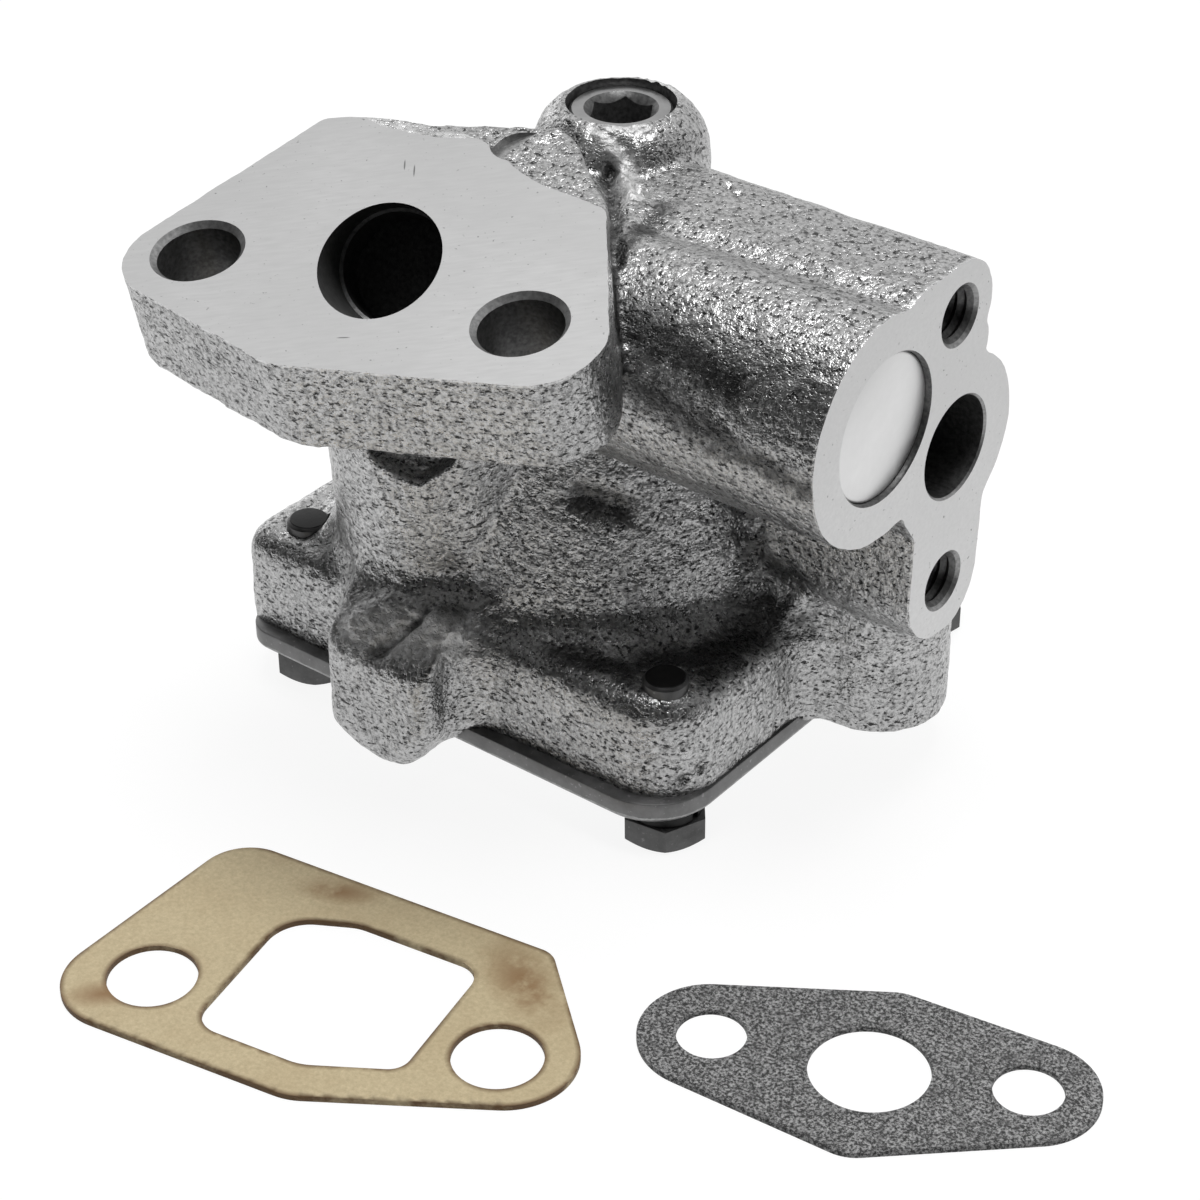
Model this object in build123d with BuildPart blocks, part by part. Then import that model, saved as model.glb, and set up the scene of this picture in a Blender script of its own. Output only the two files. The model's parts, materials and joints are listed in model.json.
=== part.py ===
import os
from math import atan2, cos, pi, radians, sin, tan

from build123d import *

# Engine oil pump with its two loose gaskets. Millimetres, +Z up along the drive shaft.
# The origin is on the shaft axis, at the level of the surface that the pump stands on.

os.makedirs("parts", exist_ok=True)

# How far a cut starts outside the face that it opens
cut_over = 1.0

# Cover bolts, quarter inch, and their lock washers
bolt_r = 3.175
bolt_inset = 6.5
bolt_end_stand = 1.4
head_across_flats = 11.11
head_height = 3.9
bolt_end_chamfer = 0.5
head_round_angle = 60.0
head_turn = 8.0
washer_r = 5.3
washer_thick = 1.5
washer_gap = 1.2
bolt_hole_clearance = 0.25
thread_clearance = 0.03

# Cover plate
cover_overhang = 0.4
cover_front_overhang = 2.0
cover_thick = 3.8
cover_edge_chamfer = 1.2

# Rotor housing
base_width = 78.0
base_left_overhang = 2.0
base_left_corner_r = 4.5
base_right_corner_r = 9.5
base_height = 15.2
base_edge_r = 4.0
dome_base_r = 33.0
dome_taper = 20.0
dome_height = 30.0
dome_web_taper = 14.0
root_depth = 1.0
dome_pit = (15.8, -26.4, 43.6)
dome_pit_r = 2.2

# Rotor set, four lobes running in five
rotor_height = 14.3
rotor_end_clearance = 0.05
ring_r = 30.5
ring_clearance = 0.08
eccentricity = 3.4
lobe_circle_r = 28.0
lobe_r = 8.8
ring_lobes = 5
port_inner_r = 17.0
port_outer_r = 25.0
port_half_angle = 50.0
port_depth = 3.0
mesh_clearance = 0.1
lobe_corner_r = 1.2
profile_steps = 96

# Drive shaft, nine sixteenths of an inch, with a five sixteenths hexagon socket
shaft_r = 7.15
shaft_clearance = 0.04
shaft_top = 88.0
socket_across_flats = 8.05
socket_mouth_r = 5.15
socket_depth = 20.0
shaft_edge_chamfer = 0.4
shaft_foot_clearance = 0.3
rotor_pin_r = 2.0
rotor_pin_inset = 1.0

# Shaft boss
boss_r = 12.3
boss_rim_r = 9.0
boss_shoulder = 7.0
boss_rim_stand = 0.3
boss_mouth_r = 7.6
boss_mouth_depth = 3.0
boss_shoulder_lean = 0.7

# Mounting flange, tilted about X
flange_tilt = 12.79
flange_bolt_spacing = 48.2
flange_thick = 13.6
flange_hole_r = 5.56
flange_hole_chamfer = 0.78
flange_cast_drop = 1.0
flange_left_hole = (-25.9, -56.1, 81.3)
flange_hole_angle = 9.6

# Outlet passage, bored at a slant from the flange face
outlet_r = 8.1
outlet_slant = 47.0
outlet_heading = 126.9
outlet_depth = 26.0
outlet_lead_in = 13.0
outlet_drop_r = 6.0
outlet_drop = (-14.0, -21.5)

# Neck under the flange
neck_foot_r = 18.0
neck_foot = (-12.8, -20.6)
neck_top_r = 16.5
neck_top = (-10.5, -27.3)
neck_height = 22.0
neck_recess_foot = (-3.5, -40.6)
neck_recess_heading = (0.406, -0.914, 0)
neck_recess = [(0, 46.3), (5.2, 50.4), (6.6, 62.0), (-7.8, 62.0), (-7.1, 49.5)]
neck_recess_depth = 4.0
neck_recess_corner_r = 1.0

# Inlet face, square to X
face_x = 57.2
barrel_yz = (-19.5, 67.2)
barrel_r = 16.2
barrel_start_x = -6.0
inlet_yz = (-2.25, 56.3)
inlet_r = 7.2
inlet_wall_r = 13.2
inlet_run = 34.0
inlet_drop_x = 23.0
inlet_drop_r = 6.0
pickup_bolt_spacing = 40.64
upper_thread_yz = (-3.3, 76.4)
upper_boss_r = 7.6
lower_boss_r = 8.3
pickup_thread_r = 3.97
pickup_thread_depth = 19.0
pickup_chamfer = 0.4

# Foot of the inlet column, beside the base, and the web behind it
column_xy = (43.2, 3.4)
column_r = 10.3
column_bottom = 7.2
column_cover_gap = 0.4
inlet_drop_wall_r = 8.6
column_web_r = 5.0
lower_boss_back_x = 33.0

# Relief valve
plunger_r = 9.525
plunger_clearance = 0.05
plunger_length = 20.0
plunger_wall = 2.6
plunger_floor = 5.0
plunger_rest_x = 12.0
relief_travel = 8.0
valve_bore_end_x = 9.0
relief_feed_r = 4.0
relief_port_r = 2.5
plug_r = 10.2
plug_inset = 1.4
plug_height = 7.0
plug_seat_depth = 8.5
plug_wall = 1.2
plug_edge_r = 1.0
plug_seat_chamfer = 0.6
spring_mean_r = 5.4
spring_wire_r = 0.8
spring_turns = 6
spring_wire_sides = 8
spring_seat_gap = 0.1

# Front lug
lug_width = 19.0
lug_x = -6.8
lug_front_y = -48.3
lug_bottom = 2.2
lug_top = 19.0
lug_rise = 8.0
lug_root = 9.0
lug_edge_r = 2.6
lug_left_rise = 3.8
lug_right_rise = 10.5
lug_sweep = [(-5.5, 1.2), (-1.0, 0.1), (4.5, 1.0), (8.0, 5.0)]
lug_cover_gap = 0.4

# Gaskets, each measured from its left hole along its line of holes
gasket_thick = 0.8
mounting_gasket_hole = (-1.0, -99.2)
mounting_gasket_turn = 19.0
mounting_gasket_hole_r = 6.0
mounting_gasket_outline = [(-14.4, -8.9), (25.7, -15.2), (63.6, -5.2), (48.1, 21.0), (-1.4, 30.0)]
mounting_gasket_outline_r = [9.0, 9.0, 9.5, 3.5, 7.0]
mounting_gasket_window = [(8.6, -6.7), (25.0, -9.4), (37.7, -6.2), (40.6, 14.9), (21.5, 18.3), (11.6, 16.4)]
mounting_gasket_window_r = [4.0, 8.0, 3.0, 3.5, 6.0, 6.0]
pickup_gasket_hole = (63.5, -63.6)
pickup_gasket_turn = 22.9
pickup_gasket_hole_r = 4.57
pickup_gasket_port = (20.7, -1.3)
pickup_gasket_port_r = 7.85
pickup_gasket_end_r = (9.6, 9.2)
pickup_gasket_waist_r = 6.0
pickup_gasket_waist = [(22.0, 7.9), (20.6, -10.6)]

# Widths worked out from the base
bolt_square = base_width - 2 * bolt_inset
cover_width = base_width + 2 * cover_overhang

# Heights worked out from the stack under the base
cover_bottom = head_height + washer_thick
joint_z = cover_bottom + cover_thick
base_top = joint_z + base_height
pocket_top = joint_z + rotor_height + 2 * rotor_end_clearance
ring_centre = (0, -eccentricity)
half_square = bolt_square / 2
bolt_places = [(x, y) for x in (-half_square, half_square) for y in (-half_square, half_square)]

tilt = radians(flange_tilt)
flange_normal = Vector(0, -sin(tilt), cos(tilt))
flange_plane = Plane(
    origin=(0, 0, flange_left_hole[2] - flange_left_hole[1] * tan(tilt)),
    x_dir=(1, 0, 0),
    z_dir=flange_normal,
)


def on_flange(x, along, drop=0.0):
    """A point of the flange plane, from X and the way up its slope, dropped below the face."""
    return flange_plane.from_local_coords((x, along, -drop))


def flange_sketch_xy(point):
    """X and the way up the slope of a point that lies on the flange plane."""
    local = flange_plane.to_local_coords(Vector(*point))
    return (local.X, local.Y)


# Flange holes, on a line that is turned a little from X
left_hole = flange_sketch_xy(flange_left_hole)
hole_turn = radians(flange_hole_angle)
right_hole = (
    left_hole[0] + flange_bolt_spacing * cos(hole_turn),
    left_hole[1] + flange_bolt_spacing * sin(hole_turn),
)
flange_outline = [(-36.5, -66.4), (-2.0, -70.5), (39.8, -54.8), (15.8, -24.2), (1.0, -13.0), (-29.6, -26.6)]
flange_outline_r = [8.5, 8.0, 9.0, 5.0, 6.0, 4.0]
cast_patch_reach = 20.0
cast_patch_edge = [(-29.4, -27.4), (-20.9, -23.4), (-5.0, -22.3), (2.2, -25.0), (13.2, -26.1), (18.5, -26.4)]
outlet_mouth = (-2.7, -47.85)


# Slanted outlet bore: its heading is measured on the flange face, its slant from the normal
slant = radians(outlet_slant)
heading = radians(outlet_heading)
outlet_along = flange_plane.x_dir * cos(heading) + flange_plane.y_dir * sin(heading)
outlet_axis = outlet_along * sin(slant) - flange_normal * cos(slant)
outlet_centre = on_flange(*outlet_mouth)
outlet_end = outlet_centre + outlet_axis * outlet_depth

lower_thread_yz = (upper_thread_yz[0], upper_thread_yz[1] - pickup_bolt_spacing)
lug_back_y = -base_width / 2 - cover_front_overhang - lug_cover_gap

# The relief port leaves the barrel where the plunger uncovers it, and meets the inlet duct's end
relief_port_start = Vector(plunger_rest_x + relief_travel - 2 * relief_port_r, *barrel_yz)
relief_port_run = Vector(inlet_drop_x, *inlet_yz) - relief_port_start
recess_across = (-neck_recess_heading[1], neck_recess_heading[0], 0)
recess_plane = Plane(origin=(*neck_recess_foot, 0), x_dir=recess_across, z_dir=neck_recess_heading)
barrel_plane = Plane.YZ.offset(barrel_start_x)
face_plane = Plane.YZ.offset(face_x)


def drill(centre, direction, radius, length):
    """Cut a round hole from centre along direction in the part that is being built."""
    with BuildSketch(Plane(origin=centre, z_dir=direction)) as section:
        Circle(radius)
    extrude(section.sketch, amount=length, dir=Vector(*direction), mode=Mode.SUBTRACT)


def countersink(centre, direction, radius, depth):
    """Cut a 45 degree chamfer round the mouth of a hole of the given radius."""
    with BuildSketch(Plane(origin=centre, z_dir=direction)) as section:
        Circle(radius + depth)
    extrude(section.sketch, amount=depth, taper=45, mode=Mode.SUBTRACT)


def square_plate(width, left=0.0, front=0.0):
    """A square with small corners on the left, lengthened to the left and the front, in the open sketch."""
    half = width / 2
    grow = (width - base_width) / 2
    left_r = base_left_corner_r + grow
    right_r = base_right_corner_r + grow
    with BuildLine(mode=Mode.PRIVATE) as rim:
        corners = ((-half - left, -half - front), (half, -half - front), (half, half), (-half - left, half))
        FilletPolyline(*corners, radius=(left_r, right_r, right_r, left_r), close=True)
    return make_face(rim.edges())


# Pump body
with BuildPart() as pump_body:
    # Square base that the cover closes, with rolled top edges
    with BuildSketch(Plane.XY.offset(joint_z)):
        square_plate(base_width, left=base_left_overhang)
    extrude(amount=base_height)
    fillet(pump_body.faces().sort_by(Axis.Z)[-1].edges(), base_edge_r)

    # Dome over the rotors, drawn in towards the shaft boss
    with BuildSketch(Plane.XY.offset(base_top - root_depth)):
        with Locations(ring_centre):
            Circle(dome_base_r)
    extrude(amount=dome_height, taper=dome_taper)

    # Leaning neck, and the web between it and the dome
    with BuildSketch(Plane.XY.offset(base_top - root_depth)):
        with Locations(neck_foot):
            Circle(neck_foot_r)
    with BuildSketch(Plane.XY.offset(base_top + dome_height)):
        with Locations(neck_top):
            Circle(neck_top_r)
    loft()
    with BuildSketch(Plane.XY.offset(base_top - root_depth)):
        with Locations(neck_foot):
            Circle(neck_foot_r)
        with Locations(ring_centre):
            Circle(dome_base_r)
        make_hull()
    extrude(amount=dome_height, taper=dome_web_taper)

    # Neck and shaft boss between the dome and the flange
    with BuildSketch(Plane.XY.offset(base_top + dome_height)):
        with Locations(neck_top):
            Circle(neck_top_r)
        Circle(boss_r)
        make_hull()
    extrude(amount=neck_height)

    # Column under the inlet face, hanging past the cover's edge, and the wall round the drop to the rotors
    with BuildSketch(Plane.XY.offset(column_bottom)):
        with Locations(column_xy):
            Circle(column_r)
    extrude(amount=inlet_yz[1] - column_bottom)
    with BuildSketch(Plane.XY.offset(joint_z)):
        square_plate(cover_width + 2 * column_cover_gap)
    extrude(amount=column_bottom - joint_z, mode=Mode.SUBTRACT)
    with BuildSketch(Plane.XY.offset(joint_z)):
        with Locations((inlet_drop_x, inlet_yz[0])):
            Circle(inlet_drop_wall_r)
        with Locations(column_xy):
            Circle(column_web_r)
        make_hull()
    extrude(amount=inlet_yz[1] - joint_z)

    # Valve barrel with the upper screw boss, and the inlet duct with the lower one
    with BuildSketch(barrel_plane):
        with Locations(barrel_yz):
            Circle(barrel_r)
        with Locations(upper_thread_yz):
            Circle(upper_boss_r)
        make_hull()
    extrude(amount=face_x - barrel_start_x)
    with BuildSketch(Plane.YZ):
        with Locations(inlet_yz):
            Circle(inlet_wall_r)
    extrude(amount=face_x)
    with BuildSketch(face_plane):
        with Locations(lower_thread_yz):
            Circle(lower_boss_r)
        with Locations(inlet_yz):
            Circle(lower_boss_r)
        make_hull()
    extrude(amount=lower_boss_back_x - face_x)

    # Shaft boss with a rounded shoulder
    with BuildSketch(Plane.XZ):
        with BuildLine():
            Polyline(
                (0, base_top),
                (boss_r, base_top),
                (boss_r, shaft_top - boss_shoulder),
            )
            Spline(
                (boss_r, shaft_top - boss_shoulder),
                (boss_rim_r, shaft_top + boss_rim_stand),
                tangents=((0, 1), (-1, boss_shoulder_lean)),
            )
            Polyline(
                (boss_rim_r, shaft_top + boss_rim_stand),
                (0, shaft_top + boss_rim_stand),
                (0, base_top),
            )
        make_face()
    revolve(axis=Axis.Z)

    # Small cast pit in the dome, under the valve barrel
    with Locations(dome_pit):
        Sphere(dome_pit_r, mode=Mode.SUBTRACT)

    # Cored recess in the neck, running up to the underside of the flange
    with BuildSketch(recess_plane.offset(neck_recess_depth)):
        with BuildLine():
            FilletPolyline(*neck_recess, radius=neck_recess_corner_r, close=True)
        make_face()
    extrude(amount=-2 * neck_recess_depth, mode=Mode.SUBTRACT)

    # Front lug, hanging past the cover's edge
    with BuildSketch(Plane.YZ.offset(lug_x - lug_width / 2)):
        with BuildLine():
            Polyline(
                (lug_back_y, joint_z),
                (lug_back_y, lug_bottom),
                (lug_front_y, lug_bottom),
                (lug_front_y, lug_top),
                (lug_back_y, lug_top + lug_rise),
                (lug_back_y + lug_root, lug_top + lug_rise),
                (lug_back_y + lug_root, joint_z),
                close=True,
            )
        make_face()
    extrude(amount=lug_width)
    with BuildSketch(Plane.XZ.offset(-lug_front_y)):
        with BuildLine():
            side = lug_width / 2 + cut_over
            sweep_ends = [(-side, lug_left_rise), *lug_sweep, (side, lug_right_rise)]
            lower_edge = Spline(*[(lug_x + x, lug_bottom + rise) for x, rise in sweep_ends])
            below = lug_bottom - cut_over
            Polyline(lower_edge @ 0, (lug_x - side, below), (lug_x + side, below), lower_edge @ 1)
        make_face()
    extrude(amount=lug_front_y - lug_back_y, mode=Mode.SUBTRACT)
    lug_front = pump_body.faces().sort_by(Axis.Y)[0]
    fillet(lug_front.edges(), lug_edge_r)

    # Mounting flange: a cast plate with a machined pad a little above it
    with BuildSketch(flange_plane.offset(-flange_cast_drop)):
        with BuildLine():
            FilletPolyline(*flange_outline, radius=flange_outline_r, close=True)
        make_face()
    extrude(amount=flange_cast_drop - flange_thick)
    with BuildSketch(flange_plane):
        with BuildLine():
            FilletPolyline(*flange_outline, radius=flange_outline_r, close=True)
        make_face()
        with BuildLine(mode=Mode.PRIVATE) as patch:
            edge = Spline(*cast_patch_edge)
            beyond = (0, cast_patch_reach)
            Polyline(edge @ 1, edge @ 1 + beyond, edge @ 0 + beyond, edge @ 0)
        add(make_face(patch.edges(), mode=Mode.PRIVATE), mode=Mode.SUBTRACT)
    extrude(amount=-flange_cast_drop)

    # Rotor pocket and the two ports in its roof
    with BuildSketch(Plane.XY.offset(joint_z)):
        with Locations(ring_centre):
            Circle(ring_r + ring_clearance)
    extrude(amount=pocket_top - joint_z, mode=Mode.SUBTRACT)
    for side in (0, 180):
        with BuildSketch(Plane.XY.offset(pocket_top)):
            with Locations(ring_centre):
                port_arc = CenterArc(ring_centre, (port_inner_r + port_outer_r) / 2, side - port_half_angle,
                                     2 * port_half_angle, mode=Mode.PRIVATE)
                SlotArc(port_arc, port_outer_r - port_inner_r)
        extrude(amount=port_depth, mode=Mode.SUBTRACT)

    # Shaft bore and its wider mouth
    drill((0, 0, joint_z), (0, 0, 1), shaft_r + shaft_clearance, shaft_top)
    drill((0, 0, shaft_top + cut_over), (0, 0, -1), boss_mouth_r, boss_mouth_depth + cut_over)

    # Cover bolt holes
    for x, y in bolt_places:
        drill((x, y, joint_z), (0, 0, 1), bolt_r + thread_clearance, base_height + bolt_end_stand)

    # Flange bolt holes and the outlet
    for x, along in (left_hole, right_hole):
        drill(on_flange(x, along), -flange_normal, flange_hole_r, flange_thick)
        countersink(on_flange(x, along), -flange_normal, flange_hole_r, flange_hole_chamfer)
    drill(outlet_centre - outlet_axis * outlet_lead_in, outlet_axis, outlet_r, outlet_lead_in + outlet_depth)
    drill((*outlet_drop, pocket_top), (0, 0, 1), outlet_drop_r, outlet_end.Z - pocket_top)

    # Inlet, relief valve bore and pickup screw holes in the side face
    drill((face_x, *inlet_yz), (-1, 0, 0), inlet_r, inlet_run)
    drill((inlet_drop_x, inlet_yz[0], pocket_top), (0, 0, 1), inlet_drop_r, inlet_yz[1] - pocket_top)
    drill((face_x, *barrel_yz), (-1, 0, 0), plunger_r, face_x - valve_bore_end_x)
    drill((outlet_drop[0], *barrel_yz), (1, 0, 0), relief_feed_r, valve_bore_end_x - outlet_drop[0])
    drill(relief_port_start, relief_port_run.normalized(), relief_port_r, relief_port_run.length)
    drill((face_x, *barrel_yz), (-1, 0, 0), plug_r, plug_seat_depth)
    countersink((face_x, *barrel_yz), (-1, 0, 0), plug_r, plug_seat_chamfer)
    for y, z in (upper_thread_yz, lower_thread_yz):
        drill((face_x, y, z), (-1, 0, 0), pickup_thread_r, pickup_thread_depth)
        countersink((face_x, y, z), (-1, 0, 0), pickup_thread_r, pickup_chamfer)
pump_body.part.label = "pump_body"
export_step(pump_body.part, "parts/pump_body.step")

# Cover plate with a broken lower edge
with BuildPart() as cover_plate:
    with BuildSketch(Plane.XY.offset(cover_bottom)):
        square_plate(cover_width, front=cover_front_overhang - cover_overhang)
    extrude(amount=cover_thick)
    chamfer(cover_plate.faces().sort_by(Axis.Z)[0].edges(), cover_edge_chamfer)
    for x, y in bolt_places:
        drill((x, y, cover_bottom), (0, 0, 1), bolt_r + bolt_hole_clearance, cover_thick)
cover_plate.part.label = "cover_plate"
export_step(cover_plate.part, "parts/cover_plate.step")


def make_cover_bolt(x, y, name):
    """A hexagon head bolt that runs up through the washer, the cover and the base."""
    with BuildPart() as bolt:
        with BuildSketch(Plane.XY):
            with Locations((x, y)):
                RegularPolygon(head_across_flats / 2, 6, major_radius=False, rotation=head_turn)
        extrude(amount=head_height)
        with BuildSketch(Plane.XY):
            with Locations((x, y)):
                Circle(head_across_flats / 2)
        extrude(amount=head_height, taper=-head_round_angle, mode=Mode.INTERSECT)
        with BuildSketch(Plane.XY.offset(head_height)):
            with Locations((x, y)):
                Circle(bolt_r)
        extrude(amount=base_top + bolt_end_stand - head_height)
        chamfer(bolt.faces().sort_by(Axis.Z)[-1].edges(), bolt_end_chamfer)
    bolt.part.label = name
    export_step(bolt.part, "parts/" + name + ".step")


def make_lock_washer(x, y, name):
    """A split ring that is pressed flat under the head."""
    with BuildPart() as washer:
        with BuildSketch(Plane.XY.offset(head_height)):
            with Locations((x, y)):
                Circle(washer_r)
                Circle(bolt_r + bolt_hole_clearance, mode=Mode.SUBTRACT)
            with Locations((x + washer_r / 2, y)):
                Rectangle(washer_r, washer_gap, mode=Mode.SUBTRACT)
        extrude(amount=washer_thick)
    washer.part.label = name
    export_step(washer.part, "parts/" + name + ".step")


# Cover bolts and lock washers, one at each corner of the square
for corner, (x, y) in zip(("left_front", "left_back", "right_front", "right_back"), bolt_places):
    make_cover_bolt(x, y, "cover_bolt_" + corner)
    make_lock_washer(x, y, "lock_washer_" + corner)

# Drive shaft with its hexagon socket and the hole for the rotor pin
shaft_bottom = joint_z + shaft_foot_clearance
rotor_bottom = joint_z + rotor_end_clearance
pin_z = rotor_bottom + rotor_height / 2
with BuildPart() as drive_shaft:
    with BuildSketch(Plane.XY.offset(shaft_bottom)):
        Circle(shaft_r)
    extrude(amount=shaft_top - shaft_bottom)
    ends = drive_shaft.edges().filter_by(GeomType.CIRCLE)
    chamfer(ends, shaft_edge_chamfer)
    with BuildSketch(Plane.XY.offset(shaft_top)):
        RegularPolygon(socket_across_flats / 2, 6, major_radius=False)
    extrude(amount=-socket_depth, mode=Mode.SUBTRACT)
    socket_r = socket_across_flats / 2
    countersink((0, 0, shaft_top), (0, 0, -1), socket_r, socket_mouth_r - socket_r)
    drill((-shaft_r, 0, pin_z), (1, 0, 0), rotor_pin_r, 2 * shaft_r)
drive_shaft.part.label = "drive_shaft"
export_step(drive_shaft.part, "parts/drive_shaft.step")


def inner_profile(turn):
    """Point of the four-lobed profile that runs inside five round lobes, at an angle in radians."""
    lead = (1 - ring_lobes) * turn
    lean = atan2(sin(lead), lobe_circle_r / (eccentricity * ring_lobes) - cos(lead))
    offset = lobe_r + mesh_clearance
    x = lobe_circle_r * cos(turn) - offset * cos(turn + lean) - eccentricity * cos(ring_lobes * turn)
    y = lobe_circle_r * sin(turn) - offset * sin(turn + lean) - eccentricity * sin(ring_lobes * turn)
    return (-y, x)


# Inner rotor, pinned to the shaft
lobe_root_r = lobe_circle_r - lobe_r - eccentricity
profile_points = [inner_profile(2 * pi * i / profile_steps) for i in range(profile_steps)]
with BuildPart() as inner_rotor:
    with BuildSketch(Plane.XY.offset(rotor_bottom)):
        with BuildLine():
            Spline(*profile_points, periodic=True)
        make_face()
        Circle(shaft_r, mode=Mode.SUBTRACT)
    extrude(amount=rotor_height)
    drill((-lobe_root_r - cut_over, 0, pin_z), (1, 0, 0), rotor_pin_r, 2 * (lobe_root_r + cut_over))
inner_rotor.part.label = "inner_rotor"
export_step(inner_rotor.part, "parts/inner_rotor.step")

# Cross pin through the shaft and the inner rotor
pin_length = 2 * (lobe_root_r - mesh_clearance - rotor_pin_inset)
with BuildPart() as rotor_pin:
    with BuildSketch(Plane(origin=(-pin_length / 2, 0, pin_z), z_dir=(1, 0, 0))):
        Circle(rotor_pin_r)
    extrude(amount=pin_length)
rotor_pin.part.label = "rotor_pin"
export_step(rotor_pin.part, "parts/rotor_pin.step")

# Outer rotor: a ring with five round lobes inside
ring_root_r = lobe_circle_r - lobe_r + 2 * eccentricity + mesh_clearance
with BuildSketch() as ring_hollow:
    Circle(ring_root_r)
    with PolarLocations(lobe_circle_r, ring_lobes, start_angle=90):
        Circle(lobe_r, mode=Mode.SUBTRACT)
    fillet(ring_hollow.vertices(), lobe_corner_r)
with BuildPart() as outer_rotor:
    with BuildSketch(Plane.XY.offset(rotor_bottom)):
        with Locations(ring_centre):
            Circle(ring_r)
            add(ring_hollow.sketch, mode=Mode.SUBTRACT)
    extrude(amount=rotor_height)
outer_rotor.part.label = "outer_rotor"
export_step(outer_rotor.part, "parts/outer_rotor.step")

# Relief plunger: a cup that slides in the barrel, open towards the spring
barrel_y, barrel_z = barrel_yz
plunger_open_x = plunger_rest_x + plunger_length
with BuildPart() as relief_plunger:
    with BuildSketch(Plane(origin=(plunger_rest_x, barrel_y, barrel_z), z_dir=(1, 0, 0))):
        Circle(plunger_r - plunger_clearance)
    extrude(amount=plunger_length)
    rims = relief_plunger.edges().filter_by(GeomType.CIRCLE)
    chamfer(rims, shaft_edge_chamfer)
    plunger_hollow = plunger_length - plunger_floor
    drill((plunger_open_x, barrel_y, barrel_z), (-1, 0, 0), plunger_r - plunger_wall, plunger_hollow)
relief_plunger.part.label = "relief_plunger"
export_step(relief_plunger.part, "parts/relief_plunger.step")

# Relief plug: a pressed cup, bright outside, with its open side towards the spring
plug_outer_x = face_x - plug_inset
with BuildPart() as relief_plug:
    plug_inner = (plug_outer_x - plug_height, barrel_y, barrel_z)
    with BuildSketch(Plane(origin=plug_inner, z_dir=(1, 0, 0))):
        Circle(plug_r)
    extrude(amount=plug_height)
    fillet(relief_plug.faces().sort_by(Axis.X)[-1].edges(), plug_edge_r)
    drill(plug_inner, (1, 0, 0), plug_r - plug_wall, plug_height - plug_wall)
relief_plug.part.label = "relief_plug"
export_step(relief_plug.part, "parts/relief_plug.step")

# Relief spring between the plunger's floor and the plug
spring_start_x = plunger_rest_x + plunger_floor + spring_seat_gap + spring_wire_r
spring_end_x = plug_outer_x - plug_wall - spring_seat_gap - spring_wire_r
spring_length = spring_end_x - spring_start_x
with BuildPart() as relief_spring:
    with BuildLine():
        coil = Helix(
            spring_length / spring_turns,
            spring_length,
            spring_mean_r,
            center=(spring_start_x, barrel_y, barrel_z),
            direction=(1, 0, 0),
        )
    with BuildSketch(Plane(origin=coil @ 0, z_dir=coil % 0)):
        RegularPolygon(spring_wire_r, spring_wire_sides)
    sweep(path=coil, is_frenet=True)
relief_spring.part.label = "relief_spring"
export_step(relief_spring.part, "parts/relief_spring.step")


def gasket_plane(left_hole_xy, turn):
    """Plane of a gasket on the ground, from its left hole along its line of holes."""
    along = (cos(radians(turn)), sin(radians(turn)), 0)
    return Plane(origin=(*left_hole_xy, 0), x_dir=along, z_dir=(0, 0, 1))


# Gasket of the mounting flange, with one window for the port
with BuildPart() as mounting_gasket:
    with BuildSketch(gasket_plane(mounting_gasket_hole, mounting_gasket_turn)):
        with BuildLine():
            FilletPolyline(*mounting_gasket_outline, radius=mounting_gasket_outline_r, close=True)
        make_face()
        with BuildLine(mode=Mode.PRIVATE) as window:
            FilletPolyline(*mounting_gasket_window, radius=mounting_gasket_window_r, close=True)
        add(make_face(window.edges(), mode=Mode.PRIVATE), mode=Mode.SUBTRACT)
        with Locations((0, 0), (flange_bolt_spacing, 0)):
            Circle(mounting_gasket_hole_r, mode=Mode.SUBTRACT)
    extrude(amount=gasket_thick)
mounting_gasket.part.label = "mounting_gasket"
export_step(mounting_gasket.part, "parts/mounting_gasket.step")

# Gasket of the inlet face, waisted towards its two screw holes
with BuildPart() as pickup_gasket:
    with BuildSketch(gasket_plane(pickup_gasket_hole, pickup_gasket_turn)):
        for x, end_r in zip((0, pickup_bolt_spacing), pickup_gasket_end_r):
            with Locations((x, 0)):
                Circle(end_r)
        with Locations(*pickup_gasket_waist):
            Circle(pickup_gasket_waist_r)
        make_hull()
        with Locations((0, 0), (pickup_bolt_spacing, 0)):
            Circle(pickup_gasket_hole_r, mode=Mode.SUBTRACT)
        with Locations(pickup_gasket_port):
            Circle(pickup_gasket_port_r, mode=Mode.SUBTRACT)
    extrude(amount=gasket_thick)
pickup_gasket.part.label = "pickup_gasket"
export_step(pickup_gasket.part, "parts/pickup_gasket.step")
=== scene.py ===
import json
from math import cos, pi, radians, sin

import bmesh
import bpy
import mathutils
import numpy as np
from mathutils import Euler, Matrix, Vector


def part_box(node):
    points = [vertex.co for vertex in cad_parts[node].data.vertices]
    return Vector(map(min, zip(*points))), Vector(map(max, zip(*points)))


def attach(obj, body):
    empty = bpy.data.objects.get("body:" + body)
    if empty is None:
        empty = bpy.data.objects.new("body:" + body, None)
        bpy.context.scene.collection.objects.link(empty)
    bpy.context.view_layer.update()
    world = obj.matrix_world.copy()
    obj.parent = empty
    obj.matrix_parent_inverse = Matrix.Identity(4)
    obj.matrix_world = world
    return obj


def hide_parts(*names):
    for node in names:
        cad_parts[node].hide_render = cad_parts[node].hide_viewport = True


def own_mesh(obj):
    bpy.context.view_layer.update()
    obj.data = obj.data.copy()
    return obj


# Looks of the engine oil pump and its two gaskets. Metres and degrees, in the CAD frame.

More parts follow.
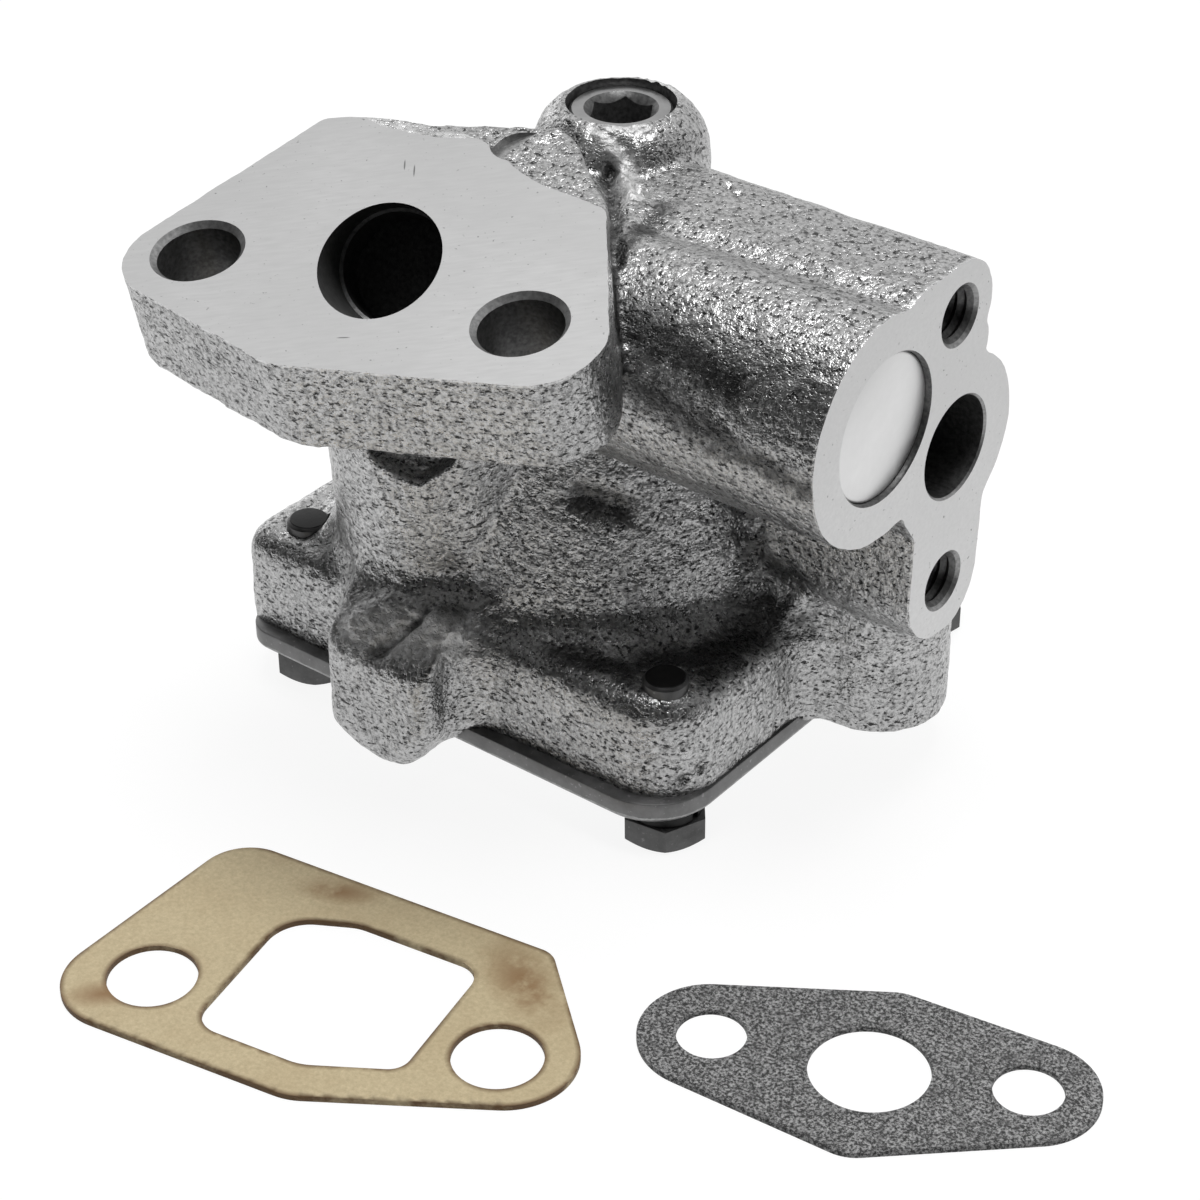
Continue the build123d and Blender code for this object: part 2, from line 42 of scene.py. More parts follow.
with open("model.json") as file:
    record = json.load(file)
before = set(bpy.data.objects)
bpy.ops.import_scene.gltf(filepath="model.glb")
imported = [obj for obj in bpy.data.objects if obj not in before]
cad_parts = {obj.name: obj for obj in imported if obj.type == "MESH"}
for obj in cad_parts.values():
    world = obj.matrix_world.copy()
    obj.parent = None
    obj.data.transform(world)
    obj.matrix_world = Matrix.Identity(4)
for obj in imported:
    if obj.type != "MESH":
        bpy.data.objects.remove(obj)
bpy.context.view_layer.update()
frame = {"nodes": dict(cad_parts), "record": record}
nodes = frame["nodes"]
mounts = {mount["name"]: mount for mount in frame["record"]["mounts"]}
mm = 0.001
up = Vector((0, 0, 1))

# Camera, at the photograph's viewing angle
camera_place = (0.2368, -0.3052, 0.2684)
camera_azimuth = 38.31
camera_elevation = 34.05
camera_roll = -0.44
camera_lens = 93.18
camera_sensor = 36.0
camera_clip = 0.01

# Casting: metal left for the machined faces, and the size and height of the mould's waves
cast_voxel = 0.42 * mm
cast_allowance = 2.5 * mm
cast_smooth_turns = 16
cast_waves = ((5.0 * mm, 0.35 * mm), (1.6 * mm, 0.22 * mm))
wave_depth = 2
wave_level = 0.55
cast_crease = 42
rim_lift = 0.6 * mm

# Round hollows at the foot of the dome, the lug and the column
hollow_voxel = 0.9 * mm
hollow_r = 5.0 * mm
hollow_inset = 0.12 * mm
hollow_top = 31 * mm
hollow_fade = 8 * mm
hollow_end = 42 * mm

# Crumbled skin: its height, and the grain and share of each of its noises
crumble_height = 0.42 * mm
crumble_noises = ((1.1 * mm, 1.0), (0.6 * mm, 0.6))
crumble_least = 0.04

# Painted shade: a hollow is where smoothing lifts the skin, and its painted shade is darker below
# the split
shade_turns = 60
shade_depth = 0.5 * mm
shade_split = 38 * mm
shade_low, shade_high = 0.45, 0.4
unshaded_share, dark_share, rough_share = 0.95, 1.05, 0.5

# Height of the machined joint with the cover, and running clearance
joint_height = 9.2 * mm
running_gap = 0.05 * mm

# Edges and faces of the other pieces
cover_edge = 0.18 * mm
steel_edge = 0.12 * mm
broken_from = 28
steel_crease = 40
plug_crease = 35
plug_inset = 0.65 * mm
# socket_r and socket_depth bound the painted shade inside the shaft's socket
socket_r = 5.05 * mm
socket_depth = 14 * mm
gasket_mesh = 1.6 * mm
gasket_turns = 6
gasket_rim = 3.0 * mm


def point(*values):
    return Vector([v * mm for v in values])


def node_box(name):
    """The middle and the size of a node's box."""
    low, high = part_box(name)
    return (low + high) / 2, high - low


def top_of(name):
    """The middle of the top of a node's box."""
    middle, size = node_box(name)
    return Vector((middle.x, middle.y, middle.z + size.z / 2))


# Machined planes and holes, from the frame
flange_point = Vector(mounts["mounting_face"]["pos_m"])
flange_normal = Vector(mounts["mounting_face"]["axis"]).normalized()
flange_holes = (point(-25.9, -56.1, 81.3), point(21.63, -48.26, 83.07))
flange_hole_r = mounts["mounting_bolts"]["dims"]["hole_r_mm"] * mm
flange_thick = 13.6 * mm
side_point = Vector(mounts["inlet_face"]["pos_m"])
side_normal = Vector((1, 0, 0))
side_notch = point(57.2, 0.2, 70.3)
outlet_point = Vector(mounts["outlet_port"]["pos_m"])
outlet_axis = Vector(mounts["outlet_port"]["axis"]).normalized()
outlet_r = mounts["outlet_port"]["dims"]["r_mm"] * mm
mouth_drop = (flange_point - outlet_point).dot(flange_normal) / outlet_axis.dot(flange_normal)
outlet_mouth = outlet_point + outlet_axis * mouth_drop
inlet_point = Vector(mounts["inlet_port"]["pos_m"])
inlet_r = mounts["inlet_port"]["dims"]["r_mm"] * mm
inlet_mouth = Vector((side_point.x, inlet_point.y, inlet_point.z))
screw_middle = Vector(mounts["pickup_screws"]["pos_m"])
screw_spacing = mounts["pickup_screws"]["dims"]["spacing_y_mm"] * mm
screw_r = mounts["pickup_screws"]["dims"]["hole_r_mm"] * mm
screw_holes = [screw_middle + Vector((0, 0, s * screw_spacing / 2)) for s in (1, -1)]
plug_middle, plug_size = node_box("relief_plug")
plug_seat = Vector((side_point.x, plug_middle.y, plug_middle.z))
plug_r = plug_size.z / 2
plunger_r = node_box("relief_plunger")[1].z / 2
shaft_top = top_of("drive_shaft")
shaft_r = node_box("drive_shaft")[1].x / 2
ring_middle, ring_size = node_box("outer_rotor")
cover_low, cover_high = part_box("cover_plate")
bolt_names = [name for name in nodes if name.startswith("cover_bolt")]
# Above this height the bolts' ends get painted shade
bolt_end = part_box(bolt_names[0])[1].z - 0.1 * mm
dimple = point(16.2, -25.9, 44.3)
dimple_normal = Vector((0.573, -0.787, 0.231)).normalized()


def on_flange(x, y):
    """The point of the flange face over X and Y."""
    x, y = x * mm, y * mm
    across = flange_normal.x * (x - flange_point.x) + flange_normal.y * (y - flange_point.y)
    return Vector((x, y, flange_point.z - across / flange_normal.z))


# Scratches on the flange face: centre, heading, half length and half width
down_slope = Vector((0.6, -0.767, -0.174))
scratches = (
    (on_flange(-12.8, -30.0), down_slope, 1.3 * mm, 0.13 * mm),
    (on_flange(-10.8, -30.4), down_slope, 1.5 * mm, 0.13 * mm),
    (on_flange(3.3, -60.5), Vector((0.8, 0.45, 0.1)), 1.0 * mm, 0.13 * mm),
)

# Oil stains on the tan gasket: centre, heading, half length and half width
stains = (
    (point(38.5, -70.6, 0.4), Vector((0.9, -0.45, 0)), 11.0 * mm, 5.5 * mm),
    (point(-3.5, -105.5, 0.4), Vector((0.7, 0.7, 0)), 6.0 * mm, 3.0 * mm),
    (point(6.4, -71.5, 0.4), Vector((0.9, 0.4, 0)), 8.0 * mm, 3.0 * mm),
)

# Grays of the casting, and of its machined faces
iron_dark, iron_pale, iron_patch, iron_pit = 0.14, 0.56, 0.28, 0.035
# The casting's darkest gray below is painted shade, laid in its hollows and along listed dark lines
iron_worn, iron_torn, iron_painted_shade = 0.75, 0.8, 0.045
face_pore, face_scratch = 0.3, 0.2

# Colours of the tan paper, and grays of the dark fibre
paper_dark, paper_pale = (0.5, 0.41, 0.25), (0.7, 0.585, 0.375)
paper_cloud, paper_rim, paper_stain = (0.42, 0.3, 0.16), (0.16, 0.095, 0.045), (0.3, 0.18, 0.085)
fibre_dark, fibre_pale, fibre_clump = 0.04, 0.46, 0.06


# Shader helpers
def put(tree, socket, value):
    """Link a socket to a node input, or set it to a number or a colour."""
    if hasattr(value, "is_linked"):
        tree.links.new(value, socket)
    elif hasattr(value, "__len__"):
        socket.default_value = (*value, 1)
    else:
        socket.default_value = value


def mix_color(tree, factor, a, b):
    """A mix of two colours or sockets by a factor."""
    mix = tree.nodes.new("ShaderNodeMix")
    mix.data_type = "RGBA"
    for socket, value in ((mix.inputs[0], factor), (mix.inputs[6], a), (mix.inputs[7], b)):
        put(tree, socket, value)
    return mix.outputs[2]


def ramp(tree, value, low, high, start=0.0, end=1.0):
    """Value spread from low to high, and clamped to start and end."""
    spread = tree.nodes.new("ShaderNodeMapRange")
    for socket, number in zip(spread.inputs, (value, low, high, start, end)):
        put(tree, socket, number)
    return spread.outputs[0]


def gray(level):
    return (level, level, level)


def grays(tree, value, low, high, dark, pale):
    """Gray from dark to pale as a value goes from low to high."""
    return mix_color(tree, ramp(tree, value, low, high), gray(dark), gray(pale))


def math_node(tree, kind, *values):
    node = tree.nodes.new("ShaderNodeMath")
    node.operation = kind
    for socket, value in zip(node.inputs, values):
        put(tree, socket, value)
    return node.outputs[0]


def object_place(tree, scale=None, turn=None):
    """Places in the part's own frame, stretched and turned where asked."""
    place = tree.nodes.new("ShaderNodeTexCoord").outputs["Object"]
    if scale or turn:
        mapping = tree.nodes.new("ShaderNodeMapping")
        mapping.vector_type = "TEXTURE"
        mapping.inputs["Rotation"].default_value = turn or (0, 0, 0)
        mapping.inputs["Scale"].default_value = scale or (1, 1, 1)
        tree.links.new(place, mapping.inputs["Vector"])
        place = mapping.outputs[0]
    return place


def noise(tree, grain, detail=3.0, roughness=0.6, scale=None, turn=None):
    """Noise whose blobs are about grain metres wide."""
    texture = tree.nodes.new("ShaderNodeTexNoise")
    texture.inputs["Scale"].default_value = 0.5 / grain
    texture.inputs["Detail"].default_value = detail
    texture.inputs["Roughness"].default_value = roughness
    tree.links.new(object_place(tree, scale, turn), texture.inputs["Vector"])
    return texture.outputs["Fac"]


def attribute(tree, name):
    node = tree.nodes.new("ShaderNodeAttribute")
    node.attribute_name = name
    return node.outputs["Fac"]


def dot_product(tree, place, direction):
    """How far a place lies along a direction."""
    node = tree.nodes.new("ShaderNodeVectorMath")
    node.operation = "DOT_PRODUCT"
    tree.links.new(place, node.inputs[0])
    node.inputs[1].default_value = direction
    return node.outputs["Value"]


def near_plane(tree, centre, normal, full=0.25 * mm, end=0.45 * mm):
    """1 in the thin strip just under a plane, and 0 further down."""
    level = centre.dot(normal)
    return ramp(tree, dot_product(tree, object_place(tree), normal), level - end, level - full)


def spot(tree, centre, heading, length, width, core=0.6):
    """1 in the core of a small ellipsoid along a heading, and 0 outside it."""
    mapping = tree.nodes.new("ShaderNodeMapping")
    mapping.vector_type = "TEXTURE"
    mapping.inputs["Location"].default_value = centre
    mapping.inputs["Rotation"].default_value = heading.to_track_quat("X", "Z").to_euler()
    mapping.inputs["Scale"].default_value = (length, width, width)
    tree.links.new(object_place(tree), mapping.inputs["Vector"])
    away = tree.nodes.new("ShaderNodeVectorMath")
    away.operation = "LENGTH"
    tree.links.new(mapping.outputs[0], away.inputs[0])
    return ramp(tree, away.outputs["Value"], 1.0, core)


def bump(tree, height, strength, distance, below=None):
    node = tree.nodes.new("ShaderNodeBump")
    node.inputs["Strength"].default_value = strength
    node.inputs["Distance"].default_value = distance
    tree.links.new(height, node.inputs["Height"])
    if below:
        tree.links.new(below, node.inputs["Normal"])
    return node.outputs[0]


def new_material(name, metallic, specular=0.5):
    material = bpy.data.materials.new(name)
    material.use_nodes = True
    shader = material.node_tree.nodes["Principled BSDF"]
    shader.inputs["Metallic"].default_value = metallic
    shader.inputs["Specular IOR Level"].default_value = specular
    return material, material.node_tree, shader


def set_surface(tree, shader, color, roughness, normal):
    for name, value in (("Base Color", color), ("Roughness", roughness), ("Normal", normal)):
        put(tree, shader.inputs[name], value)


# Materials
def cast_iron():
    """Bare sand-cast iron: fine pale and dark flecks, open pits, and painted shade in its hollows
    and along listed dark lines.
    """
    material, tree, shader = new_material("cast_iron", 0.92)
    grain = noise(tree, 0.3 * mm, 2.0, 0.7)
    peel = noise(tree, 0.75 * mm, 3.0, 0.65)
    pits = noise(tree, 0.33 * mm, 2.0, 0.6, scale=(1.3, 1.3, 0.75))
    patch = noise(tree, 9 * mm, 3.0, 0.6)
    rough = attribute(tree, "rough")

    tone = grays(tree, grain, 0.3, 0.56, iron_dark, iron_pale)
    tone = mix_color(tree, ramp(tree, patch, 0.35, 0.75, 0.0, 0.35), tone, gray(iron_patch))
    tone = mix_color(tree, ramp(tree, pits, 0.57, 0.65, 0.0, 0.95), tone, gray(iron_pit))
    edge = math_node(tree, "MAXIMUM", near_plane(tree, flange_point, flange_normal),
                     near_plane(tree, side_point, side_normal))
    worn = math_node(tree, "MULTIPLY", edge, ramp(tree, peel, 0.35, 0.6))
    tone = mix_color(tree, worn, tone, gray(iron_worn))
    tone = mix_color(tree, math_node(tree, "MULTIPLY", rough, 0.7), tone, gray(iron_torn))
    # Painted shade from the hollow attribute, with a ragged edge; it also stands in for dark
    # reflections
    ragged = math_node(tree, "MULTIPLY_ADD", noise(tree, 0.9 * mm, 4.0, 0.75), 1.7, -0.85)
    shaded_mask = math_node(tree, "ADD", attribute(tree, "hollow"), ragged)
    tone = mix_color(tree, ramp(tree, shaded_mask, 0.3, 0.95, 0.0, 0.85), tone, gray(iron_painted_shade))

    smooth = ramp(tree, peel, 0.3, 0.7, 0.22, 0.38)
    torn = math_node(tree, "MULTIPLY_ADD", rough, 0.42, smooth)
    coarse = bump(tree, peel, 1.0, 0.36 * mm)
    sunk = bump(tree, ramp(tree, pits, 0.56, 0.7, 1.0, 0.0), 0.8, 0.1 * mm, coarse)
    set_surface(tree, shader, tone, torn, bump(tree, grain, 1.0, 0.13 * mm, sunk))
    return material


def machined_iron(name, level, spread=0.04):
    """Milled iron: pale, with faint tool marks and a few open pores."""
    material, tree, shader = new_material(name, 0.85)
    marks = noise(tree, 0.25 * mm, 2.0, 0.5, scale=(12, 1, 1), turn=(0, 0, radians(38)))
    cloud = noise(tree, 12 * mm, 2.0, 0.5)
    pores = noise(tree, 0.3 * mm, 1.0, 0.5)
    tone = grays(tree, marks, 0.2, 0.8, level - spread, level + spread)
    tone = mix_color(tree, ramp(tree, cloud, 0.3, 0.7, 0.0, 0.6), tone, gray(level - 0.05))
    tone = mix_color(tree, ramp(tree, pores, 0.72, 0.8), tone, gray(face_pore))
    for row in scratches:
        tone = mix_color(tree, spot(tree, *row), tone, gray(face_scratch))
    set_surface(tree, shader, tone, 0.46, bump(tree, marks, 0.12, 0.03 * mm))
    return material


def drilled_iron(name, metallic, marks, dark, pale, roughness, relief):
    """Dark iron with turning marks, given by the detail and the roughness of their noise."""
    material, tree, shader = new_material(name, metallic)
    turned = noise(tree, 0.3 * mm, *marks)
    tone = grays(tree, turned, 0.3, 0.7, dark, pale)
    set_surface(tree, shader, tone, roughness, bump(tree, turned, relief, 0.08 * mm))
    return material


def oxide_steel(name, low, high, roughness, paler_below=None, painted_shade_above=None):
    """Oxide-blacked steel, paler below one height, and with painted shade above another."""
    material, tree, shader = new_material(name, 0.75)
    cloud = noise(tree, 1.5 * mm, 4.0, 0.65)
    grain = noise(tree, 0.3 * mm, 2.0, 0.6)
    tone = grays(tree, cloud, 0.3, 0.7, low, high)
    tone = mix_color(tree, ramp(tree, grain, 0.66, 0.74, 0.0, 0.6), tone, gray(2 * high))
    split = tree.nodes.new("ShaderNodeSeparateXYZ")
    tree.links.new(object_place(tree), split.inputs[0])
    height = split.outputs[2]
    # Painted shade: near black above the given height, on the bolts' ends
    if painted_shade_above:
        above = math_node(tree, "GREATER_THAN", height, painted_shade_above)
        tone = mix_color(tree, above, tone, gray(0.02))
    if paler_below:
        wander = 0.7 * mm
        ragged = math_node(tree, "MULTIPLY_ADD", cloud, wander, paler_below - wander / 2)
        below = math_node(tree, "LESS_THAN", height, ragged)
        tone = mix_color(tree, below, tone, grays(tree, grain, 0.3, 0.7, 1.1 * high, 1.9 * high))
    dull = ramp(tree, cloud, 0.3, 0.7, roughness - 0.06, roughness + 0.08)
    coarse = bump(tree, cloud, 0.35, 0.1 * mm)
    set_surface(tree, shader, tone, dull, bump(tree, grain, 0.3, 0.06 * mm, coarse))
    return material


def bright_steel(name, low, high, roughness):
    """Ground or plated steel with a faint cloud."""
    material, tree, shader = new_material(name, 1.0)
    cloud = noise(tree, 2.5 * mm, 3.0, 0.6)
    tone = grays(tree, cloud, 0.3, 0.7, low, high)
    dull = ramp(tree, cloud, 0.3, 0.7, roughness - 0.04, roughness + 0.05)
    set_surface(tree, shader, tone, dull, bump(tree, cloud, 0.08, 0.05 * mm))
    return material


def tan_paper():
    """Oiled gasket paper, stained brown along its rim and in a few places."""
    material, tree, shader = new_material("tan_paper", 0.0, 0.3)
    fibre = noise(tree, 0.3 * mm, 4.0, 0.75)
    cloud = noise(tree, 5 * mm, 5.0, 0.7)
    tone = mix_color(tree, ramp(tree, fibre, 0.25, 0.75), paper_dark, paper_pale)
    tone = mix_color(tree, ramp(tree, cloud, 0.45, 0.75, 0.0, 0.3), tone, paper_cloud)
    ragged = ramp(tree, cloud, 0.3, 0.52)
    near = ramp(tree, attribute(tree, "rim"), 0.74, 1.0)
    tone = mix_color(tree, math_node(tree, "MULTIPLY", ragged, near), tone, paper_rim)
    for row in stains:
        soaked = spot(tree, *row, core=0.1)
        tone = mix_color(tree, math_node(tree, "MULTIPLY", ragged, soaked), tone, paper_stain)
    set_surface(tree, shader, tone, 0.62, bump(tree, fibre, 0.35, 0.06 * mm))
    return material


def dark_fibre():
    """Graphite-faced fibre with pale flecks."""
    material, tree, shader = new_material("dark_fibre", 0.0, 0.35)
    fleck = noise(tree, 0.22 * mm, 3.0, 0.8)
    clump = noise(tree, 1.2 * mm, 3.0, 0.7)
    tone = grays(tree, fleck, 0.44, 0.62, fibre_dark, fibre_pale)
    tone = mix_color(tree, ramp(tree, clump, 0.5, 0.7, 0.0, 0.55), tone, gray(fibre_clump))
    set_surface(tree, shader, tone, 0.72, bump(tree, fleck, 0.6, 0.12 * mm))
    return material


# The cover's steel is paler below this height, with a ragged edge
pale_band_top = cover_low.z + 1.5 * mm
materials = {
    "cast_iron": cast_iron(),
    "machined": machined_iron("flange_iron", 0.57),
    # The side face's milled iron is paler than the flange's: painted light, for the brighter floor
    # it reflects
    "machined_side": machined_iron("side_iron_lit", 0.68),
    # The bored iron is dark: painted shade inside the holes, the threads and the shaft's socket
    "bored": drilled_iron("shaded_bore_iron", 0.6, (2.0, 0.5), 0.07, 0.16, 0.42, 0.3),
    "chamfer": drilled_iron("chamfer_iron", 0.8, (3.0, 0.6), 0.22, 0.4, 0.4, 0.4),
    "cover_steel": oxide_steel("cover_steel", 0.15, 0.24, 0.42, paler_below=pale_band_top),
    "bolt_steel": oxide_steel("bolt_steel", 0.07, 0.13, 0.38, painted_shade_above=bolt_end),
    "washer_steel": oxide_steel("washer_steel", 0.012, 0.03, 0.5),
    "shaft_steel": bright_steel("shaft_steel", 0.3, 0.42, 0.32),
    "sintered_steel": bright_steel("sintered_steel", 0.3, 0.42, 0.4),
    "bright_plate": bright_steel("bright_plate", 0.66, 0.74, 0.34),
    "spring_steel": bright_steel("spring_steel", 0.35, 0.5, 0.3),
    "tan_paper": tan_paper(),
    "dark_fibre": dark_fibre(),
}
slots = {row["node"]: row["material_slot"] for row in frame["record"]["subparts"]}
for name, node in nodes.items():
    node.data.materials.clear()
    node.data.materials.append(materials[slots[name]])


# Mesh helpers
cut_names = ("machined", "bored", "chamfer", "machined_side", "cast_iron")
cut_materials = [materials[name] for name in cut_names]


def add_object(name, data):
    item = bpy.data.objects.new(name, data)
    bpy.context.scene.collection.objects.link(item)
    return item


def new_piece(name, mesh, material=None):
    piece = add_object(name, mesh)
    if material in cut_materials:
        indices = [cut_materials.index(material)] * len(mesh.polygons)
        mesh.polygons.foreach_set("material_index", indices)
    elif material:
        mesh.materials.append(material)
    return piece


def mesh_from(shape, name):
    """The mesh of a finished bmesh, which is freed."""
    mesh = bpy.data.meshes.new(name)
    shape.to_mesh(mesh)
    shape.free()
    return mesh


def lathe(name, centre, axis, profile, material=None, sides=72):
    """A closed solid of revolution. The profile is (distance along the axis, radius) pairs."""
    turn = axis.to_track_quat("Z", "Y").to_matrix()
    angles = [2 * pi * i / sides for i in range(sides)]
    shape = bmesh.new()
    rings = []
    for along, radius in profile:
        ring = [Vector((radius * cos(a), radius * sin(a), along)) for a in angles]
        rings.append([shape.verts.new(centre + turn @ place) for place in ring])
    for low, high in zip(rings, rings[1:]):
        for i in range(sides):
            j = (i + 1) % sides
            shape.faces.new((low[i], low[j], high[j], high[i]))
    shape.faces.new(list(reversed(rings[0])))
    shape.faces.new(rings[-1])
    bmesh.ops.recalc_face_normals(shape, faces=shape.faces)
    return new_piece(name, mesh_from(shape, name), material)


def block(name, low, high, material=None):
    """A box between two corners."""
    shape = bmesh.new()
    bmesh.ops.create_cube(shape, size=1)
    for vertex in shape.verts:
        for i in range(3):
            vertex.co[i] = high[i] if vertex.co[i] > 0 else low[i]
    return new_piece(name, mesh_from(shape, name), material)


def slab(name, centre, normal, reach, thickness, material):
    """A square block that stands on the plane through centre, on the side that normal points to."""
    corners = [(thickness * side, reach * 2 ** 0.5) for side in (0, 1)]
    return lathe(name, centre, normal, corners, material, 4)


def threads(start, depth, root_r, crest_r, pitch):
    """Profile of a threaded hole, from start to depth along its axis."""
    profile = []
    for i in range(int(depth / pitch)):
        profile.append((start - i * pitch, root_r))
        profile.append((start - (i + 0.5) * pitch, crest_r))
    return profile


def taken(piece):
    """The piece's mesh with its modifiers applied. The piece itself is removed."""
    graph = bpy.context.evaluated_depsgraph_get()
    graph.update()
    mesh = bpy.data.meshes.new_from_object(piece.evaluated_get(graph))
    bpy.data.objects.remove(piece)
    return mesh


def vertex_places(mesh):
    flat = np.empty(len(mesh.vertices) * 3)
    mesh.vertices.foreach_get("co", flat)
    return flat.reshape(-1, 3)


def vertex_normals(mesh):
    flat = np.empty(len(mesh.vertices) * 3)
    mesh.vertex_normals.foreach_get("vector", flat)
    return flat.reshape(-1, 3)


def set_places(mesh, places):
    mesh.vertices.foreach_set("co", places.ravel())
    mesh.update()


def set_attribute(mesh, name, values):
    layer = mesh.attributes.new(name, "FLOAT", "POINT")
    layer.data.foreach_set("value", np.asarray(values, dtype=np.float32))


def shade_smooth(mesh, crease):
    """Smooth shading, with the edges sharper than the crease angle kept."""
    mesh.shade_smooth()
    mesh.set_sharp_from_angle(angle=radians(crease))


def voxels(mesh, size, name):
    """The mesh's outer skin, rebuilt on an even grid."""
    piece = new_piece(name, mesh)
    remesh = piece.modifiers.new("remesh", "REMESH")
    remesh.mode = "VOXEL"
    remesh.voxel_size = size
    return taken(piece)


def smoothed(mesh, turns, name):
    piece = new_piece(name, mesh)
    smooth = piece.modifiers.new("smooth", "SMOOTH")
    smooth.factor = 0.5
    smooth.iterations = turns
    return taken(piece)


def joined(meshes, name):
    """One mesh out of several."""
    shape = bmesh.new()
    for mesh in meshes:
        shape.from_mesh(mesh)
    return mesh_from(shape, name)


def merged(pieces, name):
    """One mesh out of several pieces, which are removed."""
    mesh = joined([piece.data for piece in pieces], name)
    for piece in pieces:
        bpy.data.objects.remove(piece)
    return mesh


def lift_face(places, on_plane, normal, height, near=0.002 * mm):
    """Move the vertices that lie on a plane outwards, to leave metal for the cut."""
    away = (places - np.array(on_plane)) @ np.array(normal)
    places[np.abs(away) < near] += np.array(normal) * height


def line_distance(places, start, end):
    """Distance of each place from a line between two points given in millimetres."""
    start, end = np.array(start) * mm, np.array(end) * mm
    line = end - start
    along = np.clip((places - start) @ line / (line @ line), 0, 1)
    return np.linalg.norm(places - start - along[:, None] * line, axis=1)


def press(places, normals, start, end, width, depth):
    """Push the surface in round a line, or out where the depth is negative. All in millimetres."""
    away = line_distance(places, start, end) / (width * mm)
    places -= normals * (depth * mm * np.exp(-(away ** 2)))[:, None]


def closeness(places, rows):
    """1 on any of the rows' lines, falling with distance."""
    near = np.zeros(len(places))
    for start, end, width in rows:
        away = line_distance(places, start, end) / (width * mm)
        near = np.maximum(near, np.exp(-(away ** 2)))
    return near


def crumble(places, normals, rough):
    """Break up the skin where it is rough."""
    for i in np.nonzero(rough > crumble_least)[0]:
        where = Vector(places[i])
        lift = sum(share * mathutils.noise.noise(where / grain) for grain, share in crumble_noises)
        places[i] += normals[i] * (lift * rough[i] * crumble_height)


def cut(mesh, groups, name):
    """The mesh less each group of cutters, whose materials stay on the faces that they cut."""
    piece = new_piece(name, mesh)
    tools = []
    for i, group in enumerate(groups):
        tool = new_piece(f"{name}_tool_{i}", merged(group, "tool"))
        for material in cut_materials:
            tool.data.materials.append(material)
        step = piece.modifiers.new(f"cut_{i}", "BOOLEAN")
        step.operation = "DIFFERENCE"
        step.solver = "MANIFOLD"
        step.object = tool
        step.material_mode = "TRANSFER"
        tools.append(tool)
    result = taken(piece)
    for tool in tools:
        bpy.data.objects.remove(tool)
    return result


# Marks of the mould and of rough handling, in mm: ends of a line, its width, and its depth
hollows_and_lumps = [
    ((-7.0, -46.2, 21.0), (-2.0, -40.8, 26.1), 1.15, 1.9),
    ((-12.3, -44.5, 22.6), (-8.4, -41.2, 25.6), 1.5, -0.9),
    ((-0.8, -40.9, 26.0), (2.4, -41.0, 25.4), 1.6, -1.0),
    ((14.4, -27.2, 44.4), (18.2, -24.7, 43.2), 2.0, 1.2),
    ((5.4, -9.9, 85.6), (5.9, -10.3, 84.1), 0.9, 0.5),
    ((5.9, -10.3, 84.1), (13.3, -18.8, 83.4), 1.1, 1.1),
    ((13.3, -18.8, 83.4), (19.5, -27.0, 82.3), 1.1, 1.2),
    ((19.0, -17.6, 83.5), (57.5, -15.8, 83.4), 2.3, 0.95),
    ((6.2, -7.7, 87.4), (7.4, -8.2, 86.4), 0.8, 0.9),
    ((8.9, -7.5, 84.8), (10.6, -8.2, 84.0), 0.7, 0.7),
    ((7.6, -9.9, 84.2), (12.1, -13.2, 83.7), 0.8, -0.7),
    ((11.6, -11.6, 83.7), (12.8, -11.8, 83.7), 0.7, 0.8),
    ((20.6, -3.6, 84.0), (21.0, -3.7, 84.0), 0.6, 0.7),
    ((22.8, -4.4, 84.0), (23.4, -4.6, 84.0), 0.5, 0.6),
    ((38.7, -31.9, 13.2), (38.5, -32.4, 12.9), 0.7, 0.9),
    ((37.6, -34.5, 12.0), (37.2, -35.2, 11.6), 0.6, 0.7),
    ((39.0, -29.5, 15.6), (39.0, -29.3, 15.8), 0.4, 0.5),
    ((39.0, -15.4, 10.4), (39.0, -15.2, 11.3), 0.4, 0.5),
    ((39.0, -17.8, 10.6), (39.0, -17.5, 11.2), 0.35, 0.4),
    ((-7.7, -40.8, 41.8), (-5.9, -39.9, 40.6), 0.7, 0.45),
    ((-8.3, -41.9, 45.4), (-6.6, -41.2, 44.2), 0.6, 0.4),
]

# Where the skin is torn or crumbled, in mm: ends of a line and its width
rough_places = [
    ((-12.0, -45.5, 22.0), (2.6, -42.0, 24.8), 3.6),
    ((4.7, -8.5, 87.0), (9.0, -9.0, 84.4), 1.8),
    ((8.0, -10.4, 84.0), (12.6, -12.8, 83.7), 1.5),
    ((2.0, -8.5, 88.4), (7.5, -4.5, 88.4), 1.0),
    ((-4.0, 8.4, 88.6), (6.0, 7.2, 88.6), 0.7),
]

